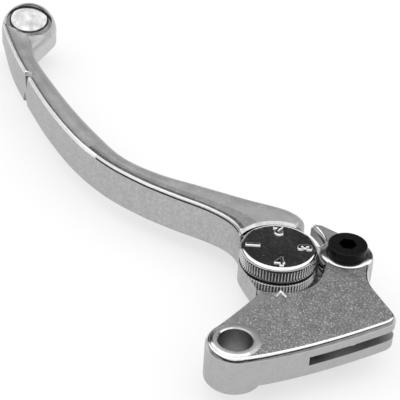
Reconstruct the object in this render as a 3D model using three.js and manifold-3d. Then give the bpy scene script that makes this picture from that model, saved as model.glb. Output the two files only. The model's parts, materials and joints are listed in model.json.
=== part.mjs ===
// Adjustable clutch lever for a motorcycle: blade, knuckle, reach dial and the small parts that join them.
// Millimetres, +Z up. The origin is on the axis of the pivot bore, at the lower face of the pivot boss.
// -X runs outboard to the ball end, +Y points forward, away from the grip.

import * as THREE from "three";
import { mergeVertices } from "three/addons/utils/BufferGeometryUtils.js";
import Module from "manifold-3d";

const wasm = await Module();
wasm.setup();

// ---- Driving dimensions ----

// Heights of the knuckle
const PLATE_TOP = 10.9;
const PLATE_BOTTOM = 2;
const BOSS_TOP = 11.2;
const CHEEK_BOTTOM = 7.5;
const SHELF_TOP = 5.7;
const NOSE_BOTTOM = 2.6;
const SLOT_BOTTOM = 2.3;
const LUG_BOTTOM = 0;
const EDGE_BEVEL = 0.4;

// Plan of the knuckle
const BOSS_RADIUS = 7;
const BORE_RADIUS = 4.1;
const BORE_CHAMFER = 0.6;
const LUG_RADIUS = 6.9;
const SLOT_RADIUS = 5.95;
const SEAT = { radius: 5.15, depth: 0.6, collarRadius: 6.4, collarRise: 0.3 };
const CABLE_SLOT = { bottom: 5.2, top: 7.7, start: 15.6, inner: -0.8 };
const NIPPLE = { x: 0.6, y: 28.6, radius: 4.1, top: 8.9 };
const NOSE_HALF_WIDTH = 3.2;
const INDEX_MARK = { tip: 17, length: 3, width: 0.5, height: 0.2, halfAngle: 0.5 };

// Blade
const BLADE_TOP = 11.9;
const BLADE_BOTTOM = 1.1;
const FLOOR_TOP = 7.2;
const TONGUE_BOTTOM = 3.8;
const HUB_RADIUS = 9.8;
const EYE_RADIUS = 5.6;
const GUARD_RADIUS = 13.4;
const GUARD_SIDE = -5.2;
const SHOULDER_RADIUS = 4;
const RIDGE_INSET = 1.2;
const RIDGE_DROP = 1.2;
const SCOOP = 0.4;
const LOWER_REAR_RADIUS = 1.2;
const LOWER_FRONT_RADIUS = 2.6;
const BALL = { x: -168.9, y: 2.5, z: 6.6, radius: 8.8 };
const BALL_TAIL = { x: -153.3, y: -4.9, radius: 3.4, bottom: 2, top: 8.5 };
const NOTCH = { x: -132.4, y: -9.2, radius: 1.6, floor: 5.5 };

// Reach dial and cam
const DIAL_CENTRE = new THREE.Vector2(-29, 24.8);
const SCREW_CENTRE = new THREE.Vector2(-22, 40.5);
const REACH_ANGLE = THREE.MathUtils.degToRad(7.2);
const DIAL_TURN = THREE.MathUtils.degToRad(270);
const DIAL_RADIUS = 9.75;
const DIAL_TOP = 12;
const DIAL_BOTTOM = 8.3;
const DIAL_BEVEL = 0.75;
const DIAL_CLEARANCE_RADIUS = 10.9;
const KNURL = { teeth: 74, depth: 0.3, bottom: 8.5, top: 10.5 };
const SKIRT = { inner: 8.9, outer: 9.1, bottom: 7.35 };
const SPINDLE_RADIUS = 2.5;
const POCKET_RADIUS = 6;
const POCKET_TOP = 6;
const CAM_BOTTOM = 2.7;
const CAM_TOP = 5.6;
const CAM_SMALL_RADIUS = 3.6;
const CAM_CLEARANCE = 0.15;
const DETENT = { reach: 7.6, ballRadius: 1.2, ballZ: 7.3, floor: 2.4, grooveTop: 8.7 };

// Pivot screw stack
const SHANK_RADIUS = 3;
const HEAD = { radius: 5, height: 3.5, hexAcross: 4, hexDepth: 1.6 };
const THREAD_RADIUS = 2.8;
const NUT = { across: 10, bottom: -4.2, collar: -3.2, top: -0.1 };

const CUT = 3;
const ROUND = 36;
const MERGE_DISTANCE = 0.06;

// ---- Directions at the dial: "toward" faces the index mark, "across" faces the pivot screw ----

const across = SCREW_CENTRE.clone().sub(DIAL_CENTRE).normalize();
const toward = new THREE.Vector2(across.y, -across.x);
const screwDistance = SCREW_CENTRE.distanceTo(DIAL_CENTRE);
const camLift = screwDistance * Math.sin(REACH_ANGLE);
const dialAtFarReach = DIAL_CENTRE.clone().rotateAround(SCREW_CENTRE, -REACH_ANGLE);
const towardAngle = Math.atan2(toward.y, toward.x);
const acrossAngle = Math.atan2(across.y, across.x);

function nearDial(alongToward, alongAcross) {
  return DIAL_CENTRE.clone().addScaledVector(toward, alongToward).addScaledVector(across, alongAcross);
}

const detentCentre = nearDial(-DETENT.reach, 0);

// ---- Solids ----

function solid(geometry) {
  const bare = geometry.index ? geometry.toNonIndexed() : geometry;
  bare.deleteAttribute("normal");
  bare.deleteAttribute("uv");
  const merged = mergeVertices(bare, 1e-4);
  return new wasm.Manifold(new wasm.Mesh({
    numProp: 3,
    vertProperties: new Float32Array(merged.attributes.position.array),
    triVerts: new Uint32Array(merged.index.array),
  }));
}

function joined(...solids) {
  return solids.reduce((all, next) => all.add(next));
}

function without(body, ...cuts) {
  return cuts.reduce((left, cut) => left.subtract(cut), body);
}

// The outline as plain corners, with points that fall on each other left out.
function cleanOutline(shape) {
  const points = shape.getPoints(ROUND / 4);
  return new THREE.Shape(points.filter((point, index) => {
    const before = points[(index + points.length - 1) % points.length];
    return point.distanceTo(before) > MERGE_DISTANCE;
  }));
}

function prism(shape, bottom, top) {
  const sweep = { depth: top - bottom, bevelEnabled: false };
  const geometry = new THREE.ExtrudeGeometry(cleanOutline(shape), sweep);
  return solid(geometry.translate(0, 0, bottom));
}

function bevelledPrism(shape, bottom, top, bevel, segments) {
  const geometry = new THREE.ExtrudeGeometry(cleanOutline(shape), {
    depth: top - bottom - 2 * bevel,
    bevelThickness: bevel,
    bevelSize: bevel,
    bevelOffset: -bevel,
    bevelSegments: segments,
  });
  return solid(geometry.translate(0, 0, bottom + bevel));
}

// A turned solid on a vertical axis, from [radius, height] pairs that run upward on the outside.
function turned(centre, profile, segments = ROUND) {
  const points = profile.map(([radius, height]) => new THREE.Vector2(radius, height));
  const geometry = new THREE.LatheGeometry(points, segments);
  geometry.rotateX(Math.PI / 2);
  return solid(geometry.translate(centre.x, centre.y, 0));
}

function disc(centre, radius, bottom, top, segments = ROUND) {
  return turned(centre, [[0, bottom], [radius, bottom], [radius, top], [0, top]], segments);
}

function ring(centre, inner, outer, bottom, top, segments = ROUND) {
  const profile = [[inner, bottom], [outer, bottom], [outer, top], [inner, top], [inner, bottom]];
  return turned(centre, profile, segments);
}

function circle(centre, radius) {
  return new THREE.Shape().absarc(centre.x, centre.y, radius, 0, 2 * Math.PI, false);
}

// The outline of a belt round two circles.
function belt(first, firstRadius, second, secondRadius) {
  const line = second.clone().sub(first);
  const heading = line.angle();
  const spread = Math.acos((firstRadius - secondRadius) / line.length());
  const shape = new THREE.Shape();
  shape.absarc(second.x, second.y, secondRadius, heading - spread, heading + spread, false);
  shape.absarc(first.x, first.y, firstRadius, heading + spread, heading - spread + 2 * Math.PI, false);
  shape.closePath();
  return shape;
}

// A rectangle in the dial's own directions.
function dialRectangle(toward0, toward1, across0, across1) {
  return new THREE.Shape([
    nearDial(toward0, across0),
    nearDial(toward1, across0),
    nearDial(toward1, across1),
    nearDial(toward0, across1),
  ]);
}

function hexagon(centre, acrossFlats) {
  const points = [];
  for (let corner = 0; corner < 6; corner += 1) {
    const angle = corner * Math.PI / 3;
    const reach = new THREE.Vector2(acrossFlats / Math.sqrt(3), 0).rotateAround(new THREE.Vector2(), angle);
    points.push(centre.clone().add(reach));
  }
  return new THREE.Shape(points);
}

// ---- Materials ----

function metal(colour, roughness, metalness = 1) {
  return new THREE.MeshStandardMaterial({ color: colour, roughness, metalness });
}

const polishedAluminium = metal(0xc9cbcd, 0.28);
const blastedAluminium = metal(0xa9abac, 0.5);
const chrome = metal(0xdfe2e5, 0.06);
const blackSteel = metal(0x17181a, 0.35);
const zincSteel = metal(0xb7b9b6, 0.3);
const bronze = metal(0xa77b43, 0.35);
const springSteel = metal(0x8d9093, 0.35);
const nylon = metal(0xe8e6da, 0.6, 0);

const lever = new THREE.Group();

function addPart(name, body, material) {
  const { vertProperties, triVerts, numProp } = body.getMesh();
  const positions = new Float32Array(triVerts.length * 3);
  triVerts.forEach((vertex, corner) => {
    for (let axis = 0; axis < 3; axis += 1) {
      positions[corner * 3 + axis] = vertProperties[vertex * numProp + axis];
    }
  });
  const geometry = new THREE.BufferGeometry();
  geometry.setAttribute("position", new THREE.BufferAttribute(positions, 3));
  geometry.computeVertexNormals();
  const mesh = new THREE.Mesh(geometry, material.clone());
  mesh.name = name;
  lever.add(mesh);
}

// ---- Knuckle ----

// The recess that the dial sits in has two arcs, one near the index mark and a wider one at the horn.
const nearArc = { x: -23.3, y: 22.1, radius: 10.7 };
const hornArc = { x: -33, y: 20.2, radius: 17.8 };

function angleFrom(arc, x, y) {
  return Math.atan2(y - arc.y, x - arc.x);
}

function knuckleOutline() {
  const shape = new THREE.Shape();
  shape.moveTo(-14.8, 12.2);
  shape.quadraticCurveTo(-9.9, 4.4, -6.3, -3);
  const bossStart = angleFrom({ x: 0, y: 0 }, -6.3, -3) + 2 * Math.PI;
  shape.absarc(0, 0, BOSS_RADIUS, bossStart, 2 * Math.PI - 0.1, false);
  shape.quadraticCurveTo(9.2, 13, 6.1, 36.9);
  shape.quadraticCurveTo(5.6, 40.5, 2.4, 40.5);
  shape.lineTo(-7, 40.5);
  shape.quadraticCurveTo(-12.2, 40.5, -17.3, 45.6);
  shape.absarc(SCREW_CENTRE.x, SCREW_CENTRE.y, LUG_RADIUS, 0.83, 2.09, false);
  shape.lineTo(-34.9, 41);
  shape.quadraticCurveTo(-36.7, 40.1, -36.2, 37.71);
  shape.absarc(hornArc.x, hornArc.y, hornArc.radius, angleFrom(hornArc, -36.2, 37.71), Math.PI / 3, true);
  shape.quadraticCurveTo(-16.05, 30.96, nearArc.x + nearArc.radius * Math.cos(Math.PI / 6),
    nearArc.y + nearArc.radius * Math.sin(Math.PI / 6));
  shape.absarc(nearArc.x, nearArc.y, nearArc.radius, Math.PI / 6, -Math.PI / 36, true);
  shape.quadraticCurveTo(-12.8, 19.4, -15.4, 13.4);
  shape.closePath();
  return shape;
}

function indexMark() {
  const tip = nearDial(INDEX_MARK.tip, 0.1);
  const bars = [-1, 1].map((side) => {
    const bar = new THREE.BoxGeometry(INDEX_MARK.length, INDEX_MARK.width, 2 * INDEX_MARK.height);
    bar.translate(INDEX_MARK.length / 2, 0, 0);
    bar.rotateZ(towardAngle + side * INDEX_MARK.halfAngle);
    return solid(bar.translate(tip.x, tip.y, PLATE_TOP));
  });
  return joined(...bars);
}

function makeKnuckle() {
  const origin = new THREE.Vector2();
  const boss = turned(origin, [
    [0, 0],
    [BOSS_RADIUS - EDGE_BEVEL, 0],
    [BOSS_RADIUS, EDGE_BEVEL],
    [BOSS_RADIUS, BOSS_TOP - EDGE_BEVEL],
    [BOSS_RADIUS - EDGE_BEVEL, BOSS_TOP],
    [0, BOSS_TOP],
  ]);
  const plate = bevelledPrism(knuckleOutline(), PLATE_BOTTOM, PLATE_TOP, EDGE_BEVEL, 2);
  const underHorn = prism(dialRectangle(-24, -1, -12, 30), PLATE_BOTTOM - CUT, CHEEK_BOTTOM);
  const lug = disc(SCREW_CENTRE, LUG_RADIUS, LUG_BOTTOM, PLATE_TOP - EDGE_BEVEL);
  const pad = prism(belt(SCREW_CENTRE, LUG_RADIUS, new THREE.Vector2(-13, 33.4), LUG_RADIUS), LUG_BOTTOM,
    PLATE_BOTTOM + EDGE_BEVEL);
  const shelf = prism(dialRectangle(6, 19, -5.2, 16), PLATE_BOTTOM, SHELF_TOP);
  const hubRoom = HUB_RADIUS + 0.5;
  const slot = joined(
    prism(belt(DIAL_CENTRE, hubRoom, SCREW_CENTRE, SLOT_RADIUS), SLOT_BOTTOM, CHEEK_BOTTOM),
    prism(belt(dialAtFarReach, hubRoom, SCREW_CENTRE, SLOT_RADIUS), SLOT_BOTTOM, CHEEK_BOTTOM),
  );
  const hubPath = prism(belt(DIAL_CENTRE, hubRoom, dialAtFarReach, hubRoom), LUG_BOTTOM - CUT, CHEEK_BOTTOM);
  const guardRoom = prism(circle(DIAL_CENTRE, GUARD_RADIUS + 0.8), SHELF_TOP, CHEEK_BOTTOM);
  const camFace = CAM_SMALL_RADIUS + CAM_CLEARANCE;
  const nose = prism(dialRectangle(camFace, 12, -NOSE_HALF_WIDTH, NOSE_HALF_WIDTH), NOSE_BOTTOM, SHELF_TOP);
  const bore = turned(origin, [
    [0, -CUT],
    [BORE_RADIUS + BORE_CHAMFER, -CUT],
    [BORE_RADIUS + BORE_CHAMFER, 0],
    [BORE_RADIUS, BORE_CHAMFER],
    [BORE_RADIUS, BOSS_TOP - BORE_CHAMFER],
    [BORE_RADIUS + BORE_CHAMFER, BOSS_TOP],
    [BORE_RADIUS + BORE_CHAMFER, BOSS_TOP + CUT],
    [0, BOSS_TOP + CUT],
  ]);
  const screwHole = disc(SCREW_CENTRE, SHANK_RADIUS + 0.3, SLOT_BOTTOM, PLATE_TOP + CUT);
  const threadHole = disc(SCREW_CENTRE, THREAD_RADIUS + 0.3, LUG_BOTTOM - CUT, SLOT_BOTTOM + CUT);
  const collar = turned(SCREW_CENTRE, [
    [0, SHELF_TOP + CUT],
    [SEAT.collarRadius, SHELF_TOP + CUT],
    [SEAT.collarRadius, PLATE_TOP],
    [SEAT.radius + 0.3, PLATE_TOP + SEAT.collarRise],
    [0, PLATE_TOP + SEAT.collarRise],
  ]);
  const seat = disc(SCREW_CENTRE, SEAT.radius, PLATE_TOP - SEAT.depth, PLATE_TOP + CUT);
  const nippleCentre = new THREE.Vector2(NIPPLE.x, NIPPLE.y);
  const nippleHole = disc(nippleCentre, NIPPLE.radius, PLATE_BOTTOM - CUT, NIPPLE.top);
  const cableSlot = prism(new THREE.Shape([
    new THREE.Vector2(CABLE_SLOT.inner, CABLE_SLOT.start),
    new THREE.Vector2(CABLE_SLOT.inner + 20, CABLE_SLOT.start),
    new THREE.Vector2(CABLE_SLOT.inner + 20, 50),
    new THREE.Vector2(CABLE_SLOT.inner, 50),
  ]), CABLE_SLOT.bottom, CABLE_SLOT.top);
  const casting = joined(without(plate, underHorn), boss, lug, pad, shelf, collar, indexMark());
  const milled = without(casting, slot, hubPath, guardRoom).add(nose);
  return without(milled, bore, screwHole, threadHole, seat, nippleHole, cableSlot);
}

addPart("knuckle", makeKnuckle(), blastedAluminium);

// ---- Blade ----

// The edges of the blade seen from above, from the hub out to the ball.
const rearEdge = [
  [-32, 16.3], [-37.5, 17.9], [-43.5, 17.6], [-50.5, 14.2], [-58.5, 8.2], [-67.5, 2.1], [-79.5, -3.8],
  [-94, -7.6], [-112, -9.4], [-130, -9.6], [-144, -9.3], [-156, -8.2], [-168, -6.5],
];
const frontEdge = [
  [-36.6, 35.2], [-39.5, 37.4], [-44.5, 35.6], [-52.1, 28], [-62.2, 18.6], [-71.5, 10], [-82, 3.6],
  [-95, 0.8], [-112, -1.4], [-130, -2.5], [-144, -2.6], [-156, 0], [-168, 3],
];
const BALL_NECK_TAPER = 1.2;

function edgeCurve(edge) {
  return new THREE.CatmullRomCurve3(edge.map(([x, y]) => new THREE.Vector3(x, y, 0)));
}

// One section of the blade: a closed outline of [distance from the rear edge, height].
function bladeSection(width, bottom, top) {
  const shoulder = Math.min(SHOULDER_RADIUS, width / 2);
  const lowerFront = Math.min(LOWER_FRONT_RADIUS, width / 3);
  const flatEnd = width - shoulder;
  const path = new THREE.Path();
  path.moveTo(LOWER_REAR_RADIUS, bottom);
  path.lineTo(width - lowerFront, bottom);
  path.absarc(width - lowerFront, bottom + lowerFront, lowerFront, -Math.PI / 2, 0, false);
  path.lineTo(width, top - shoulder);
  path.absarc(flatEnd, top - shoulder, shoulder, 0, Math.PI / 2, false);
  path.quadraticCurveTo((flatEnd + RIDGE_INSET) / 2, top - 2 * SCOOP, RIDGE_INSET, top);
  path.quadraticCurveTo(0, top, 0, top - RIDGE_DROP);
  path.lineTo(0, bottom + LOWER_REAR_RADIUS);
  path.quadraticCurveTo(0, bottom, LOWER_REAR_RADIUS, bottom);
  return path.getPoints(3).slice(0, -1);
}

// Joins rings of points, each the same length, into one closed solid with flat ends.
function loft(rings) {
  const count = rings[0].length;
  const positions = [];
  const push = (...points) => points.forEach((point) => positions.push(point.x, point.y, point.z));
  for (let index = 0; index + 1 < rings.length; index += 1) {
    const [near, far] = [rings[index], rings[index + 1]];
    for (let corner = 0; corner < count; corner += 1) {
      const next = (corner + 1) % count;
      push(near[corner], far[next], near[next]);
      push(near[corner], far[corner], far[next]);
    }
  }
  [[rings[0], false], [rings[rings.length - 1], true]].forEach(([ringPoints, isLast]) => {
    const middle = new THREE.Vector3();
    ringPoints.forEach((point) => middle.addScaledVector(point, 1 / count));
    for (let corner = 0; corner < count; corner += 1) {
      const next = (corner + 1) % count;
      if (isLast) {
        push(middle, ringPoints[next], ringPoints[corner]);
      } else {
        push(middle, ringPoints[corner], ringPoints[next]);
      }
    }
  });
  const geometry = new THREE.BufferGeometry();
  geometry.setAttribute("position", new THREE.Float32BufferAttribute(positions, 3));
  return solid(geometry);
}

function makeBladeBar() {
  const rear = edgeCurve(rearEdge);
  const front = edgeCurve(frontEdge);
  const stations = 40;
  const rings = [];
  for (let station = 0; station <= stations; station += 1) {
    const share = station / stations;
    const start = rear.getPoint(share);
    const end = front.getPoint(share);
    const width = start.distanceTo(end);
    const taper = BALL_NECK_TAPER * THREE.MathUtils.smoothstep(share, 0.9, 1);
    const sideways = end.clone().sub(start).normalize();
    rings.push(bladeSection(width, BLADE_BOTTOM + taper, BLADE_TOP - taper).map(
      (point) => start.clone().addScaledVector(sideways, point.x).setZ(point.y),
    ));
  }
  return loft(rings);
}

function makeBlade() {
  const ballCentre = new THREE.Vector2(BALL.x, BALL.y);
  const tailCentre = new THREE.Vector2(BALL_TAIL.x, BALL_TAIL.y);
  const ball = solid(new THREE.SphereGeometry(BALL.radius, 32, 20).translate(BALL.x, BALL.y, BALL.z));
  const tail = bevelledPrism(belt(ballCentre, BALL.radius - 0.1, tailCentre, BALL_TAIL.radius),
    BALL_TAIL.bottom, BALL_TAIL.top, 1, 2);
  const hub = disc(DIAL_CENTRE, HUB_RADIUS, BLADE_BOTTOM, FLOOR_TOP, 56);
  const tongue = prism(belt(DIAL_CENTRE, HUB_RADIUS, SCREW_CENTRE, EYE_RADIUS), TONGUE_BOTTOM, FLOOR_TOP);
  const guardPlan = [[0, -8.8], [4.2, -8.8], [12.3, GUARD_SIDE], [20, GUARD_SIDE], [20, 14], [0, 14]];
  const guard = prism(circle(DIAL_CENTRE, GUARD_RADIUS), POCKET_TOP, FLOOR_TOP).intersect(
    prism(new THREE.Shape(guardPlan.map((place) => nearDial(...place))), POCKET_TOP - CUT, FLOOR_TOP + CUT),
  );
  const toePlan = [[4.2, -8.8], [12.3, -5.4], [6, -5.4]];
  const toe = prism(new THREE.Shape(toePlan.map((place) => nearDial(...place))), BLADE_BOTTOM, FLOOR_TOP);
  const dialRoom = disc(DIAL_CENTRE, DIAL_CLEARANCE_RADIUS, FLOOR_TOP, BLADE_TOP + CUT, 56);
  const pocket = disc(DIAL_CENTRE, POCKET_RADIUS, SLOT_BOTTOM, POCKET_TOP);
  const noseDoor = prism(dialRectangle(0, 14, -NOSE_HALF_WIDTH - 0.5, NOSE_HALF_WIDTH + 2),
    SLOT_BOTTOM, POCKET_TOP);
  const spindleHole = disc(DIAL_CENTRE, SPINDLE_RADIUS + 0.3, BLADE_BOTTOM - CUT, FLOOR_TOP + CUT);
  const eyeHole = disc(SCREW_CENTRE, SHANK_RADIUS + 1.2, TONGUE_BOTTOM - CUT, FLOOR_TOP + CUT);
  const washerSeat = disc(SCREW_CENTRE, 5, FLOOR_TOP - 0.5, FLOOR_TOP + CUT);
  const detentHole = disc(detentCentre, DETENT.ballRadius + 0.15, DETENT.floor, FLOOR_TOP + CUT, 24);
  const notch = turned(new THREE.Vector2(NOTCH.x, NOTCH.y), [
    [0, NOTCH.floor],
    [NOTCH.radius, BLADE_TOP + 0.1],
    [0, BLADE_TOP + 0.1],
  ], 24);
  const bar = without(makeBladeBar(), dialRoom, notch);
  const hollow = without(joined(bar, tail, ball, hub, tongue, guard, toe), pocket, noseDoor);
  return without(hollow, spindleHole, eyeHole, washerSeat, detentHole);
}

addPart("lever_blade", makeBlade(), polishedAluminium);

// ---- Reach dial and cam ----

function knurledBand() {
  const points = [];
  for (let tooth = 0; tooth < KNURL.teeth; tooth += 1) {
    for (const [share, radius] of [[0, DIAL_RADIUS], [0.5, DIAL_RADIUS - KNURL.depth]]) {
      const angle = 2 * Math.PI * (tooth + share) / KNURL.teeth;
      points.push(new THREE.Vector2(radius, 0).rotateAround(new THREE.Vector2(), angle).add(DIAL_CENTRE));
    }
  }
  return prism(new THREE.Shape(points), KNURL.bottom, KNURL.top);
}

function makeDial() {
  const core = DIAL_RADIUS - KNURL.depth - 0.1;
  const body = turned(DIAL_CENTRE, [
    [0, DIAL_BOTTOM],
    [core, DIAL_BOTTOM],
    [core, KNURL.top],
    [DIAL_RADIUS, KNURL.top + 0.2],
    [DIAL_RADIUS, DIAL_TOP - DIAL_BEVEL],
    [DIAL_RADIUS - DIAL_BEVEL, DIAL_TOP],
    [0, DIAL_TOP],
  ], 60);
  const spindleSocket = disc(DIAL_CENTRE, SPINDLE_RADIUS + 0.05, DIAL_BOTTOM - CUT, DIAL_TOP - 1.4);
  const grooveWidth = DETENT.ballRadius + 0.1;
  const groove = ring(DIAL_CENTRE, DETENT.reach - grooveWidth, DETENT.reach + grooveWidth, DIAL_BOTTOM - CUT,
    DETENT.grooveTop);
  const skirt = ring(DIAL_CENTRE, SKIRT.inner, SKIRT.outer, SKIRT.bottom, DIAL_BOTTOM + 0.1, 60);
  return joined(without(joined(body, knurledBand()), spindleSocket, groove), skirt);
}

addPart("adjuster_dial", makeDial(), chrome);

function makeSpindle() {
  const clipGroove = without(
    turned(DIAL_CENTRE, [
      [0, -0.9],
      [SPINDLE_RADIUS - 0.3, -0.9],
      [SPINDLE_RADIUS, -0.6],
      [SPINDLE_RADIUS, DIAL_TOP - 1.6],
      [0, DIAL_TOP - 1.6],
    ]),
    ring(DIAL_CENTRE, SPINDLE_RADIUS - 0.5, SPINDLE_RADIUS + CUT, -0.3, 0.35),
  );
  const keyFlat = prism(dialRectangle(SPINDLE_RADIUS - 0.6, 2 * SPINDLE_RADIUS, -5, 5),
    CAM_BOTTOM - 0.6, CAM_TOP + 0.1);
  return clipGroove.subtract(keyFlat);
}

addPart("dial_spindle", makeSpindle(), zincSteel);

// The cam's radius grows evenly over the dial's turn, and eases back over what is left of the circle.
function camRadius(turn) {
  if (turn <= DIAL_TURN) {
    return CAM_SMALL_RADIUS + camLift * turn / DIAL_TURN;
  }
  const share = (2 * Math.PI - turn) / (2 * Math.PI - DIAL_TURN);
  return CAM_SMALL_RADIUS + camLift * THREE.MathUtils.smoothstep(share, 0, 1);
}

function makeCam() {
  const steps = 72;
  const points = [];
  for (let step = 0; step < steps; step += 1) {
    const turn = 2 * Math.PI * step / steps;
    const reach = new THREE.Vector2(camRadius(turn), 0).rotateAround(new THREE.Vector2(), towardAngle + turn);
    points.push(DIAL_CENTRE.clone().add(reach));
  }
  const blank = prism(new THREE.Shape(points), CAM_BOTTOM, CAM_TOP);
  const boreRadius = SPINDLE_RADIUS + 0.2;
  const hole = disc(DIAL_CENTRE, boreRadius, CAM_BOTTOM - CUT, CAM_TOP + CUT);
  const keySide = prism(dialRectangle(SPINDLE_RADIUS - 0.4, 2 * SPINDLE_RADIUS, -5, 5),
    CAM_BOTTOM - CUT, CAM_TOP + CUT);
  return blank.subtract(hole.subtract(keySide));
}

addPart("reach_cam", makeCam(), zincSteel);

const waveWasher = ring(DIAL_CENTRE, SPINDLE_RADIUS + 0.5, 4.6, FLOOR_TOP + 0.2, DIAL_BOTTOM - 0.2);
addPart("wave_washer", waveWasher, springSteel);
const spindleWasher = ring(DIAL_CENTRE, SPINDLE_RADIUS + 0.2, 4.5, 0.45, BLADE_BOTTOM - 0.1);
addPart("spindle_washer", spindleWasher, zincSteel);

function makeClip() {
  const hoop = ring(DIAL_CENTRE, SPINDLE_RADIUS - 0.3, 4.1, -0.2, 0.25);
  return hoop.subtract(prism(dialRectangle(-6, -0.5, -1.2, 1.2), -CUT, CUT));
}

addPart("spindle_clip", makeClip(), blackSteel);

// ---- Detent ----

const detentBall = new THREE.SphereGeometry(DETENT.ballRadius, 20, 12);
detentBall.translate(detentCentre.x, detentCentre.y, DETENT.ballZ);
addPart("detent_ball", solid(detentBall), zincSteel);

// A helix of round wire with its axis upright.
class Helix extends THREE.Curve {
  constructor(centre, radius, bottom, pitch, turns, lead = 0) {
    super();
    Object.assign(this, { centre, radius, bottom, pitch, turns, lead });
  }

  getPoint(share, target = new THREE.Vector3()) {
    const turn = share * this.turns;
    const angle = this.lead + 2 * Math.PI * turn;
    return target.set(
      this.centre.x + this.radius * Math.cos(angle),
      this.centre.y + this.radius * Math.sin(angle),
      this.bottom + this.pitch * turn,
    );
  }
}

function wire(path, radius, steps) {
  const section = new THREE.Shape().absarc(0, 0, radius, 0, 2 * Math.PI, false);
  const sweep = { steps, curveSegments: 4, bevelEnabled: false, extrudePath: path };
  return solid(new THREE.ExtrudeGeometry(section, sweep));
}

const detentSpring = new Helix(detentCentre, 0.95, DETENT.floor + 0.35, 0.75, 4.3);
addPart("detent_spring", wire(detentSpring, 0.2, 60), springSteel);

// ---- Pivot screw stack ----

function makeScrew() {
  const headBottom = PLATE_TOP - SEAT.depth + 0.05;
  const headTop = headBottom + HEAD.height;
  const body = turned(SCREW_CENTRE, [
    [0, NUT.bottom - 0.5],
    [THREAD_RADIUS - 0.5, NUT.bottom - 0.5],
    [THREAD_RADIUS, NUT.bottom],
    [THREAD_RADIUS, SLOT_BOTTOM - 0.1],
    [SHANK_RADIUS, SLOT_BOTTOM + 0.1],
    [SHANK_RADIUS, headBottom],
    [HEAD.radius, headBottom],
    [HEAD.radius, headTop - 0.35],
    [HEAD.radius - 0.35, headTop],
    [0, headTop],
  ]);
  return body.subtract(prism(hexagon(SCREW_CENTRE, HEAD.hexAcross), headTop - HEAD.hexDepth, headTop + CUT));
}

addPart("pivot_screw", makeScrew(), blackSteel);

const bush = ring(SCREW_CENTRE, SHANK_RADIUS + 0.2, SHANK_RADIUS + 0.95, TONGUE_BOTTOM + 0.1, 6.6);
addPart("pivot_bush", bush, bronze);
const thrustWasher = ring(SCREW_CENTRE, SHANK_RADIUS + 0.3, 4.8, FLOOR_TOP - 0.4, CHEEK_BOTTOM - 0.2);
addPart("thrust_washer", thrustWasher, zincSteel);

function makeNut() {
  const flats = prism(hexagon(SCREW_CENTRE, NUT.across), NUT.collar, NUT.top);
  const collar = disc(SCREW_CENTRE, 4.4, NUT.bottom, NUT.collar + 0.2);
  const insertSeat = disc(SCREW_CENTRE, 3.8, NUT.bottom - CUT, NUT.collar);
  return without(joined(flats, collar), disc(SCREW_CENTRE, THREAD_RADIUS + 0.3, -10, CUT), insertSeat);
}

addPart("lock_nut", makeNut(), zincSteel);
const insert = ring(SCREW_CENTRE, THREAD_RADIUS + 0.1, 3.6, NUT.bottom + 0.2, NUT.collar - 0.1);
addPart("nut_insert", insert, nylon);

const returnSpring = new Helix(SCREW_CENTRE, 4.6, SLOT_BOTTOM + 0.35, 0.64, 1.2, acrossAngle + 2.4);
addPart("return_spring", wire(returnSpring, 0.27, 40), springSteel);

export default lever;
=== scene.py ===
"""Looks of an adjustable clutch lever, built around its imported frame.

The row frame has -X outboard to the ball, +Y forward and +Z up, with the origin on the pivot bore's axis.
Shapes are modelled in millimetres in that frame, and placed() turns each finished piece into metres.
"""

import json
import math

import bmesh
import bpy
from mathutils import Matrix, Vector


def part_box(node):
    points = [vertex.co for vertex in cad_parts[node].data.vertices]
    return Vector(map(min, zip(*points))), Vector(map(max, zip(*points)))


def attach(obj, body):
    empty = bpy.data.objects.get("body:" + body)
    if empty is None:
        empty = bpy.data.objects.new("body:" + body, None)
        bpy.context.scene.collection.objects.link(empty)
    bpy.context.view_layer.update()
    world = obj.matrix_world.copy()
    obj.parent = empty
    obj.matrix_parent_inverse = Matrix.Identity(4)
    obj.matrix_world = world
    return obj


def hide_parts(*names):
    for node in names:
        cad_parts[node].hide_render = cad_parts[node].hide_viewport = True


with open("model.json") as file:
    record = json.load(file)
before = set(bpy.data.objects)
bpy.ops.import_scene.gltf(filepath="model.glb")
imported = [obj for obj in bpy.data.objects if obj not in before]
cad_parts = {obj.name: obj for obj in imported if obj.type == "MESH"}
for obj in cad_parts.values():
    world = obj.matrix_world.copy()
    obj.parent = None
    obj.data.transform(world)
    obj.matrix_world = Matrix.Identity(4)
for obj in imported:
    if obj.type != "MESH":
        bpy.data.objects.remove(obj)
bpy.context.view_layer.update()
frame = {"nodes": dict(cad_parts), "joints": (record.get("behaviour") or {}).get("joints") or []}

MM = 0.001


# ---- Places taken from the frame ----

def joint_axis(name):
    joint = next(joint for joint in frame["joints"] if joint["name"] == name)
    return Vector(joint["pos_m"][:2]) / MM


def lowest(node):
    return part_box(node)[0] / MM


def highest(node):
    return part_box(node)[1] / MM


DIAL = joint_axis("dial_turn")
SCREW = joint_axis("blade_reach")
ACROSS = (SCREW - DIAL).normalized()
TOWARD = Vector((ACROSS.y, -ACROSS.x))
TOWARD_ANGLE = math.atan2(TOWARD.y, TOWARD.x)
REACH_ANGLE = math.radians(7.2)
ORIGIN = Vector((0, 0))

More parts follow.
